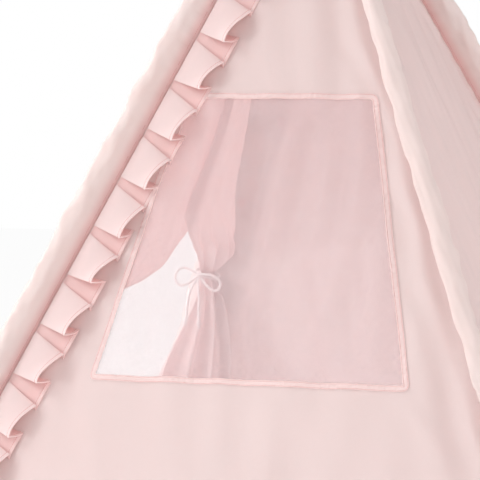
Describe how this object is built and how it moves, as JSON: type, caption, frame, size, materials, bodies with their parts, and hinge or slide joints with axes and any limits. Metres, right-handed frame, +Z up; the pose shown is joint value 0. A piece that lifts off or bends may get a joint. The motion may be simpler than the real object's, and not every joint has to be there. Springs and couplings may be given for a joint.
{
  "type": "play tent",
  "caption": "Child's folding teepee tent: jointed poles in sewn sleeves, cloth sides with fold lines, mesh window, frills and door curtains tied back with bows",
  "frame": {"origin": "on the floor, at the middle of the tent", "axes": "+Z up, door towards -Y, mesh window in the +X side"},
  "size_m": [1.2752, 1.2752, 1.5705],
  "materials": {
    "pale_cloth": "pale pink cotton canvas, matt, slightly see-through to light",
    "frill_cloth": "thinner pale pink cotton, matt",
    "window_mesh": "white fine netting, see-through",
    "binding": "pale pink cotton tape with two stitch lines",
    "cord": "white twisted cotton cord",
    "pine": "planed natural pine",
    "ferrule": "plain drawn tube",
    "rubber": "dark matt rubber"
  },
  "bodies": {
    "back_right_leg": {"back_right_pole_lower": "pine", "back_right_pole_middle": "pine", "back_right_pole_upper": "pine", "back_right_ferrule_lower": "ferrule", "back_right_ferrule_upper": "ferrule", "back_right_foot_cap": "rubber", "back_right_sleeve": "pale_cloth"},
    "window_side_rear_half": {"window_side_rear": "pale_cloth", "window_mesh_rear": "window_mesh", "window_binding_rear": "binding"},
    "window_side_front_half": {"window_side_front": "pale_cloth", "window_mesh_front": "window_mesh", "window_binding_front": "binding", "frill_right": "frill_cloth"},
    "front_right_leg": {"front_right_pole_lower": "pine", "front_right_pole_middle": "pine", "front_right_pole_upper": "pine", "front_right_ferrule_lower": "ferrule", "front_right_ferrule_upper": "ferrule", "front_right_foot_cap": "rubber", "front_right_sleeve": "pale_cloth"},
    "right_door": {"door_cloth_right": "pale_cloth", "tie_right_wrap_outer": "cord", "tie_right_wrap_inner": "cord", "tie_right_loop_ring": "cord", "tie_right_loop_drop": "cord", "tie_right_tail_outer": "cord", "tie_right_tail_inner": "cord", "tie_right_knot": "cord"},
    "back_side_right_half": {"back_panel_right": "pale_cloth"},
    "back_side_left_half": {"back_panel_left": "pale_cloth"},
    "back_left_leg": {"back_left_pole_lower": "pine", "back_left_pole_middle": "pine", "back_left_pole_upper": "pine", "back_left_ferrule_lower": "ferrule", "back_left_ferrule_upper": "ferrule", "back_left_foot_cap": "rubber", "back_left_sleeve": "pale_cloth"},
    "plain_side_rear_half": {"plain_side_rear": "pale_cloth"},
    "plain_side_front_half": {"plain_side_front": "pale_cloth", "frill_left": "frill_cloth"},
    "front_left_leg": {"front_left_pole_lower": "pine", "front_left_pole_middle": "pine", "front_left_pole_upper": "pine", "front_left_ferrule_lower": "ferrule", "front_left_ferrule_upper": "ferrule", "front_left_foot_cap": "rubber", "front_left_sleeve": "pale_cloth"},
    "left_door": {"door_cloth_left": "pale_cloth", "tie_left_wrap_outer": "cord", "tie_left_wrap_inner": "cord", "tie_left_loop_ring": "cord", "tie_left_loop_drop": "cord", "tie_left_tail_outer": "cord", "tie_left_tail_inner": "cord", "tie_left_knot": "cord"}
  },
  "joints": [
    {"name": "fold", "type": "hinge", "parent": "back_right_leg", "child": "window_side_rear_half", "pos_m": [0, 0, 1.365], "axis": [-0.3733, -0.3733, 0.8493], "range_deg": [0, 62]},
    {"name": "window_side_crease", "type": "hinge", "parent": "window_side_rear_half", "child": "window_side_front_half", "pos_m": [0, 0, 1.365], "axis": [0.4024, 0, -0.9155], "range_deg": [0, 121.12]},
    {"name": "front_right_seam", "type": "hinge", "parent": "window_side_front_half", "child": "front_right_leg", "pos_m": [0, 0, 1.365], "axis": [-0.3733, 0.3733, 0.8493], "range_deg": [0, 62]},
    {"name": "right_door_seam", "type": "hinge", "parent": "front_right_leg", "child": "right_door", "pos_m": [0, 0, 1.365], "axis": [-0.3733, 0.3733, 0.8493], "range_deg": [0, 31]},
    {"name": "back_right_seam", "type": "hinge", "parent": "back_right_leg", "child": "back_side_right_half", "pos_m": [0, 0, 1.365], "axis": [0.3733, 0.3733, -0.8493], "range_deg": [0, 73.26]},
    {"name": "back_side_crease", "type": "hinge", "parent": "back_side_right_half", "child": "back_side_left_half", "pos_m": [0, 0, 1.365], "axis": [0, -0.4024, 0.9155], "range_deg": [0, 128.96]},
    {"name": "back_left_seam", "type": "hinge", "parent": "back_side_left_half", "child": "back_left_leg", "pos_m": [0, 0, 1.365], "axis": [-0.3733, 0.3733, -0.8493], "range_deg": [0, 73.26]},
    {"name": "plain_side_rear_seam", "type": "hinge", "parent": "back_left_leg", "child": "plain_side_rear_half", "pos_m": [0, 0, 1.365], "axis": [-0.3733, 0.3733, -0.8493], "range_deg": [0, 62]},
    {"name": "plain_side_crease", "type": "hinge", "parent": "plain_side_rear_half", "child": "plain_side_front_half", "pos_m": [0, 0, 1.365], "axis": [0.4024, 0, 0.9155], "range_deg": [0, 121.12]},
    {"name": "front_left_seam", "type": "hinge", "parent": "plain_side_front_half", "child": "front_left_leg", "pos_m": [0, 0, 1.365], "axis": [-0.3733, -0.3733, -0.8493], "range_deg": [0, 62]},
    {"name": "left_door_seam", "type": "hinge", "parent": "front_left_leg", "child": "left_door", "pos_m": [0, 0, 1.365], "axis": [-0.3733, -0.3733, -0.8493], "range_deg": [0, 31]}
  ],
  "couplings": [
    {"joint": "window_side_crease", "follows": "fold", "ratio": 1.9535},
    {"joint": "front_right_seam", "follows": "fold", "ratio": 1},
    {"joint": "right_door_seam", "follows": "fold", "ratio": 0.5},
    {"joint": "back_right_seam", "follows": "fold", "ratio": 1.1816},
    {"joint": "back_side_crease", "follows": "fold", "ratio": 2.08},
    {"joint": "back_left_seam", "follows": "fold", "ratio": 1.1816},
    {"joint": "plain_side_rear_seam", "follows": "fold", "ratio": 1},
    {"joint": "plain_side_crease", "follows": "fold", "ratio": 1.9535},
    {"joint": "front_left_seam", "follows": "fold", "ratio": 1},
    {"joint": "left_door_seam", "follows": "fold", "ratio": 0.5}
  ]
}
